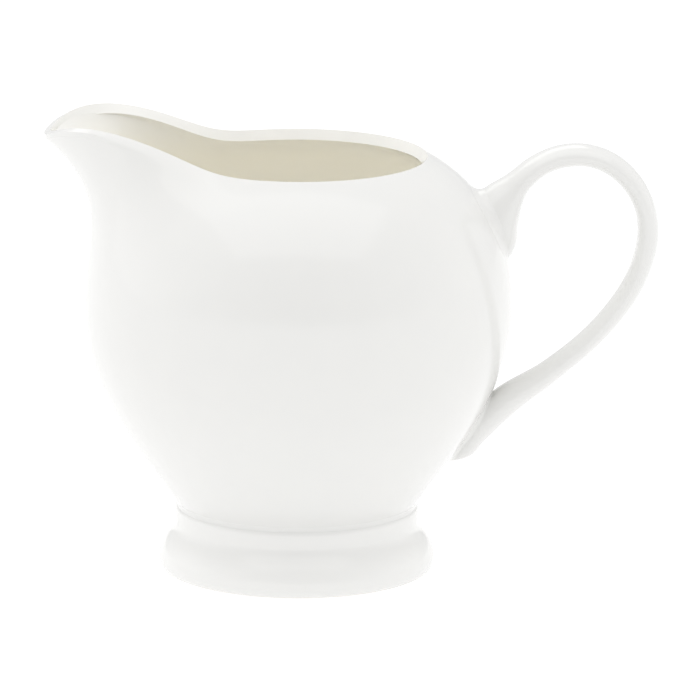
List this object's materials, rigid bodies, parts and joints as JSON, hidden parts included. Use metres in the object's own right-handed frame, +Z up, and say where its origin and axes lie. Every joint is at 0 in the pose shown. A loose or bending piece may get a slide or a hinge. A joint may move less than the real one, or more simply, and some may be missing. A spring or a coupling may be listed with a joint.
{
  "type": "cream jug",
  "caption": "Small round-bellied porcelain jug with a wide pulled pouring lip, a loop handle and a moulded pedestal foot.",
  "frame": {"origin": "on the table under the middle of the whole jug, spout and handle included", "axes": "+Z up; the pouring lip points along -X and the handle along +X; +Y runs across the jug, which is the same on both sides of the XZ plane"},
  "size_m": [0.1294, 0.09, 0.0966],
  "materials": {
    "body_glaze": "clear gloss glaze over white bone china",
    "foot_glaze": "clear gloss glaze, wiped off the flat standing ring",
    "handle_glaze": "clear gloss glaze over white bone china",
    "luting_slip": "fired slip under the glaze"
  },
  "bodies": {
    "root": {"bowl": "body_glaze", "foot": "foot_glaze", "handle": "handle_glaze", "foot_slip_joint": "luting_slip", "upper_handle_slip_joint": "luting_slip", "lower_handle_slip_joint": "luting_slip"}
  },
  "joints": []
}
